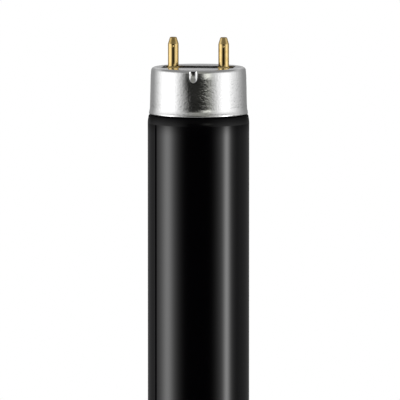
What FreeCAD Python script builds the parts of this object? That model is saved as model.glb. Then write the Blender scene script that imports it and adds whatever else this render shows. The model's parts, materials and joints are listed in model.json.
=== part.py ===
# Ultraviolet "black light" tube lamp, 25.5 mm across, with a two-pin cap on each end.
# Millimetres. Z is the lamp's axis and X runs through the pins; the origin is the lamp's middle.
# Every piece of an end is drawn once, with z = 0 on the cap's end face and z > 0 away from the
# lamp, and is then set on the upper end or turned over about Y for the lower one.
import os
from math import cos, degrees, tan

import FreeCAD
import Part
from FreeCAD import Vector

# Lamp
FACE_TO_FACE = 436.6       # from one cap's end face to the other
TUBE_RADIUS = 12.75

# Glass ends: a taper and a shelf under each cap's rim, a neck inside the cap and a sealed-in stem
TAPER_DROP = 1.85          # from the cap's rim down to where the taper starts
TAPER_INSET = 0.27
TAPER_ROUND = 6.0
SHELF_DROP = 0.3           # from the cap's rim down to the shelf's outer edge
SHELF_RISE = 0.25
SHELF_ROUND = 0.3
NECK_ROUND = 0.4           # at the foot of the neck
NECK_TOP_DEPTH = 5.6       # the neck's end, below the cap's face
STEM_LIP_WIDTH = 2.85      # from the neck's side in to the stem's mouth
STEM_LIP_ROUND = 1.1
STEM_FLOOR_RADIUS = 4.8
STEM_DEPTH = 11.0          # from the neck's end down to the stem's floor
PUMP_TUBE_RADIUS = 1.9
PUMP_TIP_DEPTH = 1.2       # the sealed tip, below the neck's end
PUMP_TIP_LENGTH = 2.6

# Aluminium cap, drawn from sheet
SHEET = 0.4
CAP_HEIGHT = 11.7
CAP_CORNER = 0.9
CAP_TOP_SETBACK = 0.93     # the side at the top, in from the tube's radius
CAP_BEND_SETBACK = 0.75    # the side where it straightens below the corner
CAP_BEND_DEPTH = 2.0       # of that bend, below the cap's face
CAP_BEND_ROUND = 10.0
CAP_FOOT_SETBACK = 0.55    # the side at the foot, where the rim flares out
RIM_SETBACK = 0.32
FLARE_START = 1.45         # above the rim's edge
FLARE_END = 0.3            # above the rim's edge
FLARE_ROUND = 4.0
RIM_ROUND = 0.3
EDGE_ROUND = 0.15          # the rim's cut edge
SLOT_END_MARGIN = 2.7      # from a pin's axis to the slot's end
SLOT_WIDTH = 8.6
SLOT_ROUND = 1.2

# Locating dent, pressed into the top of the cap's front by a round bar that bows outwards
DENT_RADIUS = 1.4          # of the bar
DENT_BOW = 3.1             # radius of the bar's centre line
DENT_DEPTH = 0.48          # of its deepest point, in from the side's radius at the top
DENT_LEVEL = 0.8           # of its deepest point, below the cap's face
DENT_RISE = 6.3            # degrees of the bow above its deepest point
DENT_FALL = 50             # degrees of the bow below it, where it leaves the cap

# Insulator plate
PLATE_THICKNESS = 2.0
PLATE_CLEARANCE = 0.12     # to the cap's wall and dent
PLATE_CHAMFER = 1.0        # clears the cap's inner corner

# Brass pins
PIN_SPACING = 12.7
PIN_RADIUS = 1.33
PIN_LENGTH = 7.5           # beyond the cap's face
PIN_TIP_RADIUS = 0.82
PIN_TAPER = 1.7
PIN_TIP_ROUND = 0.3
COLLAR_RADIUS = 1.6
COLLAR_EDGE = 0.16
COLLAR_HEIGHT = 0.55
SHANK_RADIUS = 1.1
SHANK_CLEARANCE = 0.04
RIVET_RADIUS = 1.7
RIVET_HEIGHT = 0.45
CRIMP_RADIUS = 0.5         # of the punch that marks the pin
CRIMP_DEPTH = 0.12
CRIMP_BELOW_TAPER = 0.55
BORE_RADIUS = 0.5
BORE_TOP = 0.9             # the blind bore's end, beyond the cap's face

# Lead wires
LEAD_RADIUS = 0.3
LEAD_ROOT_OFFSET = 3.3     # from the lamp's axis, on the stem's floor
LEAD_BEND_RADIUS = 1.4
LEAD_BEND_LOW = 2.6        # lower bend, below the rivet
LEAD_BEND_HIGH = 0.9       # upper bend, below the rivet

# Basing cement
CEMENT_THICKNESS = 0.3     # at the top of the cap, round the neck
CEMENT_TOP = 0.5           # below the neck's end
CEMENT_BOTTOM = 0.7        # above the cap's rim

ORIGIN = Vector(0, 0, 0)
AXIS = Vector(0, 0, 1)

plate_top = -SHEET
plate_bottom = plate_top - PLATE_THICKNESS
neck_top = -NECK_TOP_DEPTH
stem_floor = neck_top - STEM_DEPTH
pin_offset = PIN_SPACING / 2
cap_top_radius = TUBE_RADIUS - CAP_TOP_SETBACK
neck_radius = cap_top_radius - SHEET - CEMENT_THICKNESS
stem_mouth_radius = neck_radius - STEM_LIP_WIDTH


def rounded_edges(corners, closed):
    """Edges through corners (x, z, radius) of the XZ plane, with a tangent arc at each corner."""
    count = len(corners)
    points = [Vector(x, 0, z) for x, z, _ in corners]
    bends = []
    for i, (_, _, radius) in enumerate(corners):
        point = points[i]
        if radius == 0:
            bends.append((point, None, point))
            continue
        arriving = (point - points[i - 1]).normalize()
        leaving = (points[(i + 1) % count] - point).normalize()
        half_turn = arriving.getAngle(leaving) / 2
        inward = (leaving - arriving).normalize()
        reach = radius * tan(half_turn)
        middle = point + inward * (radius / cos(half_turn) - radius)
        bends.append((point - arriving * reach, middle, point + leaving * reach))
    edges = []
    for i, (start, middle, end) in enumerate(bends):
        if middle:
            edges.append(Part.Arc(start, middle, end).toShape())
        if closed or i < count - 1:
            edges.append(Part.makeLine(end, bends[(i + 1) % count][0]))
    return edges


def turned(corners):
    """The solid of revolution about Z of a closed profile of (radius, z, rounding) corners."""
    face = Part.Face(Part.Wire(rounded_edges(corners, closed=True)))
    return face.revolve(ORIGIN, AXIS, 360)


def rounded_slot(length, width, rounding, bottom, top):
    """A prism with rounded corners, centred on the axis and long in X."""
    block = Part.makeBox(length, width, top - bottom, Vector(-length / 2, -width / 2, bottom))
    upright = [edge for edge in block.Edges if abs(edge.tangentAt(0).z) > 0.5]
    return block.makeFillet(rounding, upright)


def glass_tube():
    """One sealed body: tube, tapered ends and necks, with a stem and pump tube in each end."""
    half = FACE_TO_FACE / 2
    shelf = -CAP_HEIGHT - SHELF_DROP
    upper = [
        (TUBE_RADIUS, -CAP_HEIGHT - TAPER_DROP, TAPER_ROUND),
        (TUBE_RADIUS - TAPER_INSET, shelf, SHELF_ROUND),
        (neck_radius, shelf + SHELF_RISE, NECK_ROUND),
        (neck_radius, neck_top, STEM_LIP_ROUND),
        (stem_mouth_radius, neck_top, STEM_LIP_ROUND),
        (STEM_FLOOR_RADIUS, stem_floor, 0),
        (PUMP_TUBE_RADIUS, stem_floor, 0),
        (PUMP_TUBE_RADIUS, neck_top - PUMP_TIP_DEPTH - PUMP_TIP_LENGTH, 1.0),
        (0, neck_top - PUMP_TIP_DEPTH, 0),
    ]
    top = [(radius, half + z, rounding) for radius, z, rounding in upper]
    bottom = [(radius, -z, rounding) for radius, z, rounding in reversed(top)]
    return turned(bottom + top)


def cap_profile(inset):
    """Corners of the cap's outside, or of its hollow when inset by the sheet's thickness."""
    rim = TUBE_RADIUS - RIM_SETBACK - inset
    foot = TUBE_RADIUS - CAP_FOOT_SETBACK - inset
    bend = TUBE_RADIUS - CAP_BEND_SETBACK - inset
    edge = EDGE_ROUND if inset == 0 else 0
    return [
        (0, -CAP_HEIGHT, 0),
        (rim, -CAP_HEIGHT, edge),
        (rim, -CAP_HEIGHT + FLARE_END, RIM_ROUND),
        (foot, -CAP_HEIGHT + FLARE_START, FLARE_ROUND),
        (bend, -CAP_BEND_DEPTH, CAP_BEND_ROUND),
        (cap_top_radius - inset, -inset, CAP_CORNER - inset),
        (0, -inset, 0),
    ]


def dent_punch(growth):
    """The bowed bar that presses the dent, grown on all sides."""
    sideways = Vector(1, 0, 0)
    reach = cap_top_radius - DENT_DEPTH + DENT_RADIUS
    centre = Vector(0, -reach - DENT_BOW, -DENT_LEVEL)
    section = Part.makeCircle(DENT_RADIUS + growth, Vector(0, -reach, -DENT_LEVEL), AXIS)
    end = Part.Face(Part.Wire(section))
    end.rotate(centre, sideways, -DENT_FALL)
    return end.revolve(centre, sideways, DENT_FALL + DENT_RISE + degrees(growth / DENT_BOW))


def cap():
    """The drawn shell: side, rim and slotted face in one sheet, dented in at the front."""
    outside = turned(cap_profile(0))
    hollow = turned(cap_profile(SHEET)).cut(dent_punch(SHEET))
    length = PIN_SPACING + 2 * SLOT_END_MARGIN
    slot = rounded_slot(length, SLOT_WIDTH, SLOT_ROUND, -2 * SHEET, SHEET)
    return outside.cut([hollow, dent_punch(0), slot])


def insulator():
    """A plate under the cap's face, chamfered into its corner and keyed round its dent."""
    radius = cap_top_radius - SHEET - PLATE_CLEARANCE
    plate = turned([
        (0, plate_bottom, 0),
        (radius, plate_bottom, 0),
        (radius, plate_top - PLATE_CHAMFER, 0),
        (radius - PLATE_CHAMFER, plate_top, 0),
        (0, plate_top, 0),
    ])
    holes = [Part.makeCylinder(SHANK_RADIUS + SHANK_CLEARANCE, PLATE_THICKNESS,
                               Vector(side * pin_offset, 0, plate_bottom))
             for side in (-1, 1)]
    return plate.cut(holes + [dent_punch(SHEET + PLATE_CLEARANCE)])


def pin(side):
    """A brass pin with a collar on the plate, a riveted tail below it and a blind bore."""
    taper_foot = PIN_LENGTH - PIN_TAPER
    tail = plate_bottom - RIVET_HEIGHT
    body = turned([
        (0, BORE_TOP, 0),
        (BORE_RADIUS, BORE_TOP, 0),
        (BORE_RADIUS, tail, 0),
        (RIVET_RADIUS - RIVET_HEIGHT / 2, tail, 0),
        (RIVET_RADIUS, plate_bottom, 0),
        (SHANK_RADIUS, plate_bottom, 0),
        (SHANK_RADIUS, plate_top, 0),
        (COLLAR_RADIUS, plate_top, 0),
        (COLLAR_RADIUS, plate_top + COLLAR_EDGE, 0),
        (PIN_RADIUS, plate_top + COLLAR_HEIGHT, 0),
        (PIN_RADIUS, taper_foot, 0),
        (PIN_TIP_RADIUS, PIN_LENGTH, PIN_TIP_ROUND),
        (0, PIN_LENGTH, 0),
    ])
    crimp = Vector(0, -(PIN_RADIUS + CRIMP_RADIUS - CRIMP_DEPTH), taper_foot - CRIMP_BELOW_TAPER)
    body = body.cut(Part.makeSphere(CRIMP_RADIUS, crimp))
    body.translate(Vector(side * pin_offset, 0, 0))
    return body


def lead(side):
    """A wire from the stem's floor, bent outwards and up into the end of a pin's bore."""
    rivet = plate_bottom - RIVET_HEIGHT
    route = rounded_edges([
        (side * LEAD_ROOT_OFFSET, stem_floor, 0),
        (side * LEAD_ROOT_OFFSET, rivet - LEAD_BEND_LOW, LEAD_BEND_RADIUS),
        (side * pin_offset, rivet - LEAD_BEND_HIGH, LEAD_BEND_RADIUS),
        (side * pin_offset, BORE_TOP, 0),
    ], closed=False)
    section = Part.Wire(Part.makeCircle(LEAD_RADIUS, Vector(side * LEAD_ROOT_OFFSET, 0, stem_floor)))
    return Part.Wire(route).makePipeShell([section], True, False)


def cement(glass_end):
    """The ring that fills the cap's hollow round the neck of the glass."""
    height = CAP_HEIGHT - NECK_TOP_DEPTH - CEMENT_TOP - CEMENT_BOTTOM
    foot = Vector(0, 0, -CAP_HEIGHT + CEMENT_BOTTOM)
    slab = Part.makeCylinder(TUBE_RADIUS, height, foot)
    core = Part.makeCylinder(stem_mouth_radius, height, foot)
    return slab.common(turned(cap_profile(SHEET))).cut([glass_end, core])


def set_on_upper_end(shape):
    placed = shape.copy()
    placed.translate(Vector(0, 0, FACE_TO_FACE / 2))
    return placed


def set_on_lower_end(shape):
    placed = set_on_upper_end(shape)
    placed.rotate(ORIGIN, Vector(0, 1, 0), 180)
    return placed


def all_pieces():
    """Every piece by name. Turning an end over about Y swaps its left and right."""
    glass = glass_tube()
    glass_end = glass.copy()
    glass_end.translate(Vector(0, 0, -FACE_TO_FACE / 2))
    pieces = {"glass_tube": glass}
    single = {"cap": cap(), "insulator": insulator(), "cement": cement(glass_end)}
    for name, shape in single.items():
        pieces["upper_" + name] = set_on_upper_end(shape)
        pieces["lower_" + name] = set_on_lower_end(shape)
    for name, make in (("pin", pin), ("lead", lead)):
        left, right = make(-1), make(1)
        pieces["upper_left_" + name] = set_on_upper_end(left)
        pieces["upper_right_" + name] = set_on_upper_end(right)
        pieces["lower_left_" + name] = set_on_lower_end(right)
        pieces["lower_right_" + name] = set_on_lower_end(left)
    return pieces


os.makedirs("parts", exist_ok=True)
for name, shape in all_pieces().items():
    solid = shape.removeSplitter()
    solid.exportStep("parts/" + name + ".step")
    print(name, "valid", solid.isValid(), "solids", len(solid.Solids),
          "volume %.2f" % solid.Volume)
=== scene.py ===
import json
from math import cos, pi, radians, sin, tan

import bpy
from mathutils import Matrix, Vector

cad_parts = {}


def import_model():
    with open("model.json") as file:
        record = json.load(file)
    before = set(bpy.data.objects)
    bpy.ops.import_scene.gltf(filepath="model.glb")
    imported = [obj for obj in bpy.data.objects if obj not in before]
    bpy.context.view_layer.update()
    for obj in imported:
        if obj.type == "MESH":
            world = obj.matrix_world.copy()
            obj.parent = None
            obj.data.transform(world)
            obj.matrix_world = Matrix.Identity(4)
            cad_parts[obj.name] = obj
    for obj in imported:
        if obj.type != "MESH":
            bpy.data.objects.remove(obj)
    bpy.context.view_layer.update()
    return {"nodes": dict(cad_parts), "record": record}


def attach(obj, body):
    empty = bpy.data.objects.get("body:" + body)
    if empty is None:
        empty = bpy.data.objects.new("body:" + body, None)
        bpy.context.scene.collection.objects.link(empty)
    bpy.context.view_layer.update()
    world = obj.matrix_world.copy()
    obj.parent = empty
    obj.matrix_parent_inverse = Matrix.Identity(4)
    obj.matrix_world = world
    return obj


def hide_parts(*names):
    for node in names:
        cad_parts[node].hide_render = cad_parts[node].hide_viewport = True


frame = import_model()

# Ultraviolet tube lamp in a photo studio. Lengths are in metres and angles in degrees. Z is the
# lamp's axis and X runs through the pins. The camera stands on the -Y side, where the dents are.
MM = 0.001

# Lamp
FACE_TO_FACE = 436.6 * MM
TUBE_RADIUS = 12.75 * MM
CAP_HEIGHT = 11.7 * MM
PIN_LENGTH = 7.5 * MM         # beyond the cap's face
FACE_Z = FACE_TO_FACE / 2
RIM_Z = FACE_Z - CAP_HEIGHT

# Glass ends
TAPER_DROP = 1.85 * MM        # below the cap's rim
TAPER_INSET = 0.27 * MM
TAPER_ROUND = 6.0 * MM
SHELF_DROP = 0.3 * MM         # below the cap's rim
SHELF_RISE = 0.25 * MM
SHELF_ROUND = 0.3 * MM
NECK_RADIUS = 11.12 * MM
NECK_ROUND = 0.4 * MM
NECK_TOP_DEPTH = 5.6 * MM     # below the cap's face
NECK_TOP_ROUND = 1.1 * MM
TUBE_SEGMENTS = 256

# Shallow forms of the drawn cap
SINK = -0.11 * MM             # the metal sinks beside the dent
SINK_WIDTH = 1.7 * MM
SINK_FADE = (2.6 * MM, 8.0 * MM)      # below the cap's face, full and gone
NOSE = 0.10 * MM              # the punch has a flat nose, so the dent's floor is flatter
NOSE_WIDTH = 0.55 * MM
NOSE_FADE = (2.5 * MM, 3.5 * MM)      # below the cap's face, full and gone
FLARE = 0.05 * MM             # the rim flares out faster and faster
FLARE_GROWTH = (1.1 * MM, 0.4 * MM)   # above the rim, from none to full

# Painted shade: a duller, nearly unreflecting band of the glass that darkens its reflections under
# the cap's rim, strongest at the rim
RIM_SHADE = 0.98
RIM_SHADE_FADE = (-0.5 * MM, 5.4 * MM)   # below the rim, full and gone

# Camera, far off with a long lens, as the photograph shows no convergence
CAMERA_AZIMUTH = 6.2
CAMERA_ELEVATION = 5.25
CAMERA_DISTANCE = 2.0
CAMERA_LENS = 717
AIM_DEPTH = 33.5 * MM         # below the upper cap's face
AIM_RIGHT = 0.38 * MM

# Floor and backdrop
FLOOR_Z = -FACE_Z - PIN_LENGTH
FLOOR_RADIUS = 0.46
FLOOR_RINGS = 12
FLOOR_FADE = (0.26, 0.45)     # distance from the lamp's middle
FLOOR_LIFT = 0.2              # in the picture only
WHITE = 1.0                   # of the backdrop in the picture and in mirrors
ROOM = 0.6                    # of the backdrop for matt surfaces

# Light tent, in bands of fabric: each fades into the next between two heights
TENT_RADIUS = 0.5
TENT_TOP = 0.9
TENT_SEGMENTS = 96
TENT_ROWS = 24
OPENING_ANGLE = 8             # to each side of the back's middle
OPENING_TOP = 0.2
FOOT = 0.75
FOOT_TO_LOW = (FLOOR_Z, -0.04)
LOW_TO_HIGH = (0.162, 0.174)
HIGH_TO_UPPER = (0.25, 0.42)
UPPER_TO_CROWN = (0.42, 0.46)
CROWN_TO_ROOF = (0.55, 0.60)
ROOF = 0.26
WINDOW_BOTTOM = (0.212, 0.245)        # none and full
WINDOW_TOP = (0.34, 0.29)
MATT_GAIN = 0.8               # extra light for matt surfaces, so that they show their true colours


# Nodes and meshes

class Nodes:
    """A short way to write the node tree of a material or of the world."""

    def __init__(self, tree):
        self.tree = tree
        tree.nodes.clear()

    def add(self, kind, inputs=None, **settings):
        node = self.tree.nodes.new("ShaderNode" + kind)
        for key, value in settings.items():
            setattr(node, key, value)
        for key, value in (inputs or {}).items():
            if isinstance(value, bpy.types.NodeSocket):
                self.tree.links.new(value, node.inputs[key])
            else:
                node.inputs[key].default_value = value
        return node

    def math(self, operation, a, b=0.0, c=0.0):
        return self.add("Math", {0: a, 1: b, 2: c}, operation=operation).outputs[0]

    def total(self, *terms):
        result = terms[0]
        for term in terms[1:]:
            result = self.math("ADD", result, term)
        return result

    def product(self, *factors):
        result = factors[0]
        for factor in factors[1:]:
            result = self.math("MULTIPLY", result, factor)
        return result

    def absolute(self, value):
        return self.math("ABSOLUTE", value)

    def bell(self, value, centre, width, top=1.0):
        offset = self.math("DIVIDE", self.math("SUBTRACT", value, centre), width)
        return self.product(self.math("EXPONENT", self.product(offset, offset, -1.0)), top)

    def remap(self, value, low, high, to_low=0.0, to_high=1.0, kind="SMOOTHSTEP"):
        inputs = {0: value, 1: low, 2: high, 3: to_low, 4: to_high}
        return self.add("MapRange", inputs, interpolation_type=kind).outputs[0]

    def blend(self, factor, a, b):
        return self.add("Mix", {0: factor, 2: a, 3: b}, data_type="FLOAT").outputs[0]

    def tint(self, factor, a, b):
        return self.add("MixRGB", {0: factor, 1: (*a, 1), 2: (*b, 1)}).outputs[0]

    def place(self):
        return self.add("TexCoord").outputs["Object"]

    def split(self, place):
        return self.add("SeparateXYZ", {0: place}).outputs

    def noise(self, place, scale, detail=2.0, roughness=0.5):
        """Noise with grains of about 1 / scale metres. The scale is one number or one per axis."""
        if isinstance(scale, tuple):
            place = self.add("Mapping", {"Vector": place, "Scale": scale}).outputs[0]
            scale = 1.0
        inputs = {"Vector": place, "Scale": scale, "Detail": detail, "Roughness": roughness}
        return self.add("TexNoise", inputs).outputs[0]

    def bump(self, height, distance, strength=1.0, normal=None):
        inputs = {"Strength": strength, "Distance": distance, "Height": height}
        if normal is not None:
            inputs["Normal"] = normal
        return self.add("Bump", inputs).outputs[0]

    def principled(self, colour, roughness, normal, **more):
        if isinstance(colour, tuple):
            colour = (*colour, 1)
        inputs = {"Base Color": colour, "Roughness": roughness, "Normal": normal}
        for name, value in more.items():
            inputs[name.replace("_", " ")] = value
        return self.add("BsdfPrincipled", inputs).outputs[0]

    def light(self, kind, colour, strength):
        return self.add(kind, {"Color": colour, "Strength": strength}).outputs[0]

    def mix(self, factor, a, b):
        return self.add("MixShader", {0: factor, 1: a, 2: b}).outputs[0]

    def output(self, shader, kind="OutputMaterial"):
        self.add(kind, {"Surface": shader})


def material(name):
    mat = bpy.data.materials.new(name)
    mat.use_nodes = True
    return mat, Nodes(mat.node_tree)


def lathe(name, profile, segments, flip=False, left_out=None):
    """A mesh of revolution about Z through points (radius, z).

    A point with radius 0 becomes one vertex. The faces look outwards where the profile rises. With
    flip they look the other way, so upwards where it runs outwards. A face is left out where
    left_out(angle, z) holds for its middle, with the angle counted from +X towards +Y."""
    verts, rings, faces = [], [], []
    for radius, z in profile:
        if radius < 1e-9:
            rings.append([len(verts)] * segments)
            verts.append((0, 0, z))
            continue
        rings.append(list(range(len(verts), len(verts) + segments)))
        for s in range(segments):
            a = 2 * pi * s / segments
            verts.append((radius * cos(a), radius * sin(a), z))
    for i, (low, high) in enumerate(zip(rings, rings[1:])):
        middle_z = (profile[i][1] + profile[i + 1][1]) / 2
        for s in range(segments):
            if left_out and left_out(360 * (s + 0.5) / segments, middle_z):
                continue
            t = (s + 1) % segments
            corners = (low[s], low[t], high[t], high[s])
            if flip:
                corners = (low[s], high[s], high[t], low[t])
            faces.append(list(dict.fromkeys(corners)))
    mesh = bpy.data.meshes.new(name)
    mesh.from_pydata(verts, [], faces)
    mesh.shade_smooth()
    obj = bpy.data.objects.new(name, mesh)
    bpy.context.scene.collection.objects.link(obj)
    return obj


# Materials

def aluminium():
    mat, n = material("drawn_aluminium")
    place = n.place()
    grain = n.noise(place, 1700.0, roughness=0.6)
    patches = n.noise(place, 420.0)
    streaks = n.noise(place, (3200.0, 3200.0, 90.0))
    texture = n.total(grain, n.product(patches, 0.35), n.product(streaks, 0.25))
    normal = n.bump(texture, 0.03 * MM)
    x, y, z = n.split(place)
    depth = n.math("SUBTRACT", FACE_Z, n.absolute(z))
    sink = n.product(n.bell(x, 0.0, SINK_WIDTH, SINK / MM), n.remap(depth, *SINK_FADE, 1.0, 0.0))
    nose = n.product(n.bell(x, 0.0, NOSE_WIDTH, NOSE / MM), n.remap(depth, *NOSE_FADE, 1.0, 0.0))
    front = n.math("LESS_THAN", y, 0.0)
    pressed = n.product(n.total(sink, nose), front)
    above_rim = n.math("SUBTRACT", n.absolute(z), RIM_Z)
    growth = n.remap(above_rim, *FLARE_GROWTH, kind="LINEAR")
    flare = n.product(growth, growth, FLARE / MM)
    normal = n.bump(n.total(pressed, flare), MM, normal=normal)
    roughness = n.remap(patches, 0.3, 0.7, 0.08, 0.13)
    n.output(n.principled((0.88, 0.88, 0.88), roughness, normal, Metallic=1.0))
    return mat


def brass():
    mat, n = material("brass")
    place = n.place()
    rings = n.noise(place, (300.0, 300.0, 9000.0))
    stain = n.noise(place, 700.0, detail=3.0)
    normal = n.bump(rings, 0.004 * MM, strength=0.5)
    colour = n.tint(n.remap(stain, 0.45, 0.75), (0.84, 0.62, 0.27), (0.72, 0.50, 0.18))
    roughness = n.remap(stain, 0.3, 0.7, 0.06, 0.10)
    edge = (0.20, 0.12, 0.04, 1)
    n.output(n.principled(colour, roughness, normal, Metallic=1.0, Specular_Tint=edge))
    return mat


def dark_glass():
    mat, n = material("dark_glass")
    colour = (0.0012, 0.001, 0.0016)
    place = n.place()
    waves = n.noise(place, (60.0, 60.0, 9.0), detail=1.0)
    wiped = n.noise(place, 90.0, detail=3.0)
    normal = n.bump(waves, 0.02 * MM, strength=0.2)
    clear = n.principled(colour, n.remap(wiped, 0.35, 0.75, 0.02, 0.04), normal, IOR=1.52)
    # painted shade under the cap's rim: matt glass with almost no reflection, mixed in below the
    # rim
    rim_shade = n.principled(colour, 0.7, normal, Specular_IOR_Level=0.02)
    z = n.split(place)[2]
    below_rim = n.math("SUBTRACT", RIM_Z, n.absolute(z))
    n.output(n.mix(n.remap(below_rim, *RIM_SHADE_FADE, RIM_SHADE, 0.0), clear, rim_shade))
    return mat


def phenolic():
    mat, n = material("black_phenolic")
    flecks = n.noise(n.place(), 1800.0)
    normal = n.bump(flecks, 0.02 * MM, strength=0.4)
    colour = n.tint(flecks, (0.006, 0.005, 0.005), (0.016, 0.014, 0.012))
    roughness = n.remap(flecks, 0.3, 0.7, 0.5, 0.65)
    n.output(n.principled(colour, roughness, normal, Specular_IOR_Level=0.2))
    return mat


def cement():
    mat, n = material("basing_cement")
    sand = n.noise(n.place(), 1500.0, detail=4.0)
    normal = n.bump(sand, 0.08 * MM, strength=0.8)
    colour = n.tint(sand, (0.42, 0.36, 0.27), (0.70, 0.64, 0.53))
    n.output(n.principled(colour, n.remap(sand, 0.3, 0.7, 0.8, 0.95), normal))
    return mat


def nickel_wire():
    mat, n = material("nickel_wire")
    lines = n.noise(n.place(), (6000.0, 6000.0, 300.0))
    normal = n.bump(lines, 0.005 * MM, strength=0.4)
    roughness = n.remap(lines, 0.3, 0.7, 0.25, 0.4)
    n.output(n.principled((0.62, 0.60, 0.56), roughness, normal, Metallic=1.0))
    return mat


# Glass tube

def rounded_profile(corners, steps=12, guard=0.05 * MM):
    """Points (radius, z) through corners (radius, z, rounding), with an arc at each corner.

    A guard point just outside each arc keeps the straight runs' shading straight."""
    points = []
    for i, (radius, z, rounding) in enumerate(corners):
        here = Vector((radius, z))
        if rounding == 0:
            points.append(here)
            continue
        back = (Vector(corners[i - 1][:2]) - here).normalized()
        ahead = (Vector(corners[i + 1][:2]) - here).normalized()
        half = back.angle(ahead) / 2
        start = here + back * (rounding / tan(half))
        end = here + ahead * (rounding / tan(half))
        centre = here + (back + ahead).normalized() * (rounding / sin(half))
        turn = pi - 2 * half
        if back.x * ahead.y - back.y * ahead.x > 0:
            turn = -turn
        arm = start - centre
        points.append(start + back * guard)
        for k in range(steps + 1):
            c, s = cos(turn * k / steps), sin(turn * k / steps)
            points.append(centre + Vector((arm.x * c - arm.y * s, arm.x * s + arm.y * c)))
        points.append(end + ahead * guard)
    return points


def glass_tube():
    """The tube's outer surface, without the stems' mouths, which are hidden inside the caps."""
    top = [
        (TUBE_RADIUS, RIM_Z - TAPER_DROP, TAPER_ROUND),
        (TUBE_RADIUS - TAPER_INSET, RIM_Z - SHELF_DROP, SHELF_ROUND),
        (NECK_RADIUS, RIM_Z - SHELF_DROP + SHELF_RISE, NECK_ROUND),
        (NECK_RADIUS, FACE_Z - NECK_TOP_DEPTH, NECK_TOP_ROUND),
        (0, FACE_Z - NECK_TOP_DEPTH, 0),
    ]
    bottom = [(radius, -z, rounding) for radius, z, rounding in reversed(top)]
    return lathe("glass_tube_drawn", rounded_profile(bottom + top), TUBE_SEGMENTS)


# Stage

def tent_light(n, angle, z):
    """The light of the tent's fabric by height, and by angle to the right of the camera."""
    away = n.absolute(angle)

    # below the cap's level: a softbox on each side, and a dark seam in the fabric on the left
    left = n.total(n.bell(angle, -73, 12, 1.3), n.bell(angle, -76, 22.5, 2.2))
    right = n.total(n.bell(angle, 66.5, 8, 3.3), n.bell(angle, 64.5, 19, 1.37))
    seam = n.remap(n.absolute(n.math("ADD", angle, 112.7)), 2.6, 3.9)
    low = n.product(n.total(left, right, n.remap(away, 80, 110, 0.0, 0.15)), seam)

    # at the cap's level: bright sides, dark where the camera stands and grey at the back
    left = n.product(n.remap(angle, -16, -71), n.remap(angle, -140, -84, 0.22, 1.0), 1.27)
    right = n.product(n.remap(angle, 10, 77), n.remap(angle, 40, 144, 1.0, 0.17), 1.47)
    high = n.total(left, right, n.remap(away, 163, 172, 0.02, 0.14))

    # above it: softer sides, a pale back and a narrow window just right of the camera
    left = n.product(n.remap(angle, -17, -70), n.remap(angle, -168, -72), 0.57)
    right = n.product(n.remap(angle, 12, 68), n.remap(angle, 54, 152, 1.0, 0.0), 0.48)
    upper = n.total(left, right, n.bell(away, 180, 12.5, 0.58), 0.325)
    window = n.product(n.bell(angle, 20, 11.5, 0.83),
                       n.remap(z, *WINDOW_BOTTOM), n.remap(z, *WINDOW_TOP))
    crown = n.remap(away, 25, 80, 0.2, 0.5)

    level = n.blend(n.remap(z, *FOOT_TO_LOW), FOOT, low)
    level = n.blend(n.remap(z, *LOW_TO_HIGH), level, high)
    level = n.blend(n.remap(z, *HIGH_TO_UPPER), level, upper)
    level = n.total(level, window)
    level = n.blend(n.remap(z, *UPPER_TO_CROWN), level, crown)
    return n.blend(n.remap(z, *CROWN_TO_ROOF), level, ROOF)


def light_tent():
    """A round tent that lights the lamp from all sides and is clear to the camera's rays.

    Its own X axis points at the camera, and its angles are counted from there to the right."""
    rise = (TENT_TOP - FLOOR_Z) / TENT_ROWS
    profile = [(TENT_RADIUS, FLOOR_Z + rise * row) for row in range(TENT_ROWS + 1)]
    profile.append((0, TENT_TOP))
    tent = lathe("light_tent", profile, TENT_SEGMENTS,
                 left_out=lambda angle, z: abs(angle - 180) < OPENING_ANGLE and z < OPENING_TOP)
    tent.rotation_euler.z = radians(CAMERA_AZIMUTH - 90)
    tent.visible_camera = False

    mat, n = material("tent_fabric")
    x, y, z = n.split(n.place())
    angle = n.product(n.math("ARCTAN2", y, x), 180 / pi)
    gain = n.math("MULTIPLY_ADD", n.add("LightPath").outputs["Is Diffuse Ray"], MATT_GAIN, 1.0)
    warmth = n.math("MAXIMUM", n.bell(angle, 0, 26), n.bell(angle, 20, 14))
    colour = n.tint(warmth, (1, 1, 1), (0.99, 1, 0.91))
    n.output(n.light("Emission", colour, n.product(tent_light(n, angle, z), gain)))
    tent.data.materials.append(mat)


def backdrop(n, kind):
    """White in the picture and in mirrors, and a plain level for the light on matt surfaces."""
    path = n.add("LightPath").outputs
    seen = n.math("MAXIMUM", path["Is Camera Ray"], path["Is Glossy Ray"])
    seen = n.math("MAXIMUM", seen, path["Is Transmission Ray"])
    return n.light(kind, (1, 1, 1, 1), n.blend(seen, ROOM, WHITE))


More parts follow.
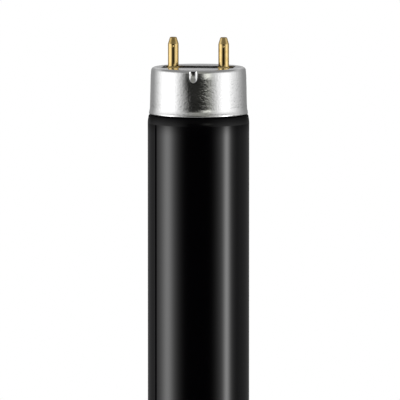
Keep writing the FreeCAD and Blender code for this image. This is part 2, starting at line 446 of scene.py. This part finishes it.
def floor():
    """A pale round floor that keeps the lamp's shadow and fades into the white backdrop."""
    profile = [(FLOOR_RADIUS * ring / FLOOR_RINGS, FLOOR_Z) for ring in range(FLOOR_RINGS + 1)]
    obj = lathe("floor", profile, TENT_SEGMENTS, flip=True)
    mat, n = material("floor")
    reach = n.add("VectorMath", {0: n.place()}, operation="LENGTH").outputs["Value"]
    paint = n.add("BsdfDiffuse", {"Color": (0.8, 0.8, 0.8, 1)}).outputs[0]
    lift = n.product(n.add("LightPath").outputs["Is Camera Ray"], FLOOR_LIFT)
    lit = n.add("AddShader", {0: paint, 1: n.light("Emission", (1, 1, 1, 1), lift)}).outputs[0]
    n.output(n.mix(n.remap(reach, *FLOOR_FADE), lit, backdrop(n, "Emission")))
    obj.data.materials.append(mat)


def world():
    studio = bpy.data.worlds.new("studio")
    studio.use_nodes = True
    n = Nodes(studio.node_tree)
    n.output(backdrop(n, "Background"), "OutputWorld")
    bpy.context.scene.world = studio


def camera():
    a, e = radians(CAMERA_AZIMUTH), radians(CAMERA_ELEVATION)
    back = Vector((sin(a) * cos(e), -cos(a) * cos(e), sin(e)))
    right = Vector((cos(a), sin(a), 0))
    data = bpy.data.cameras.new("camera")
    data.lens = CAMERA_LENS
    data.clip_start = 0.1
    data.clip_end = 100
    obj = bpy.data.objects.new("camera", data)
    obj.location = Vector((0, 0, FACE_Z - AIM_DEPTH)) + right * AIM_RIGHT + back * CAMERA_DISTANCE
    obj.rotation_mode = "QUATERNION"
    obj.rotation_quaternion = (-back).to_track_quat("-Z", "Y")
    scene = bpy.context.scene
    scene.collection.objects.link(obj)
    scene.camera = obj
    scene.view_settings.view_transform = "Standard"


# Lamp

def lamp():
    finishes = {
        "drawn_aluminium": aluminium(), "brass": brass(), "dark_glass": dark_glass(),
        "black_phenolic": phenolic(), "basing_cement": cement(), "nickel_wire": nickel_wire(),
    }
    for part in frame["record"]["subparts"]:
        node = frame["nodes"][part["node"]]
        node.data.materials.clear()
        node.data.materials.append(finishes[part["material_slot"]])
    tube = glass_tube()
    tube.data.materials.append(finishes["dark_glass"])
    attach(tube, "root")
    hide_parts("glass_tube")


camera()
world()
floor()
light_tent()
lamp()
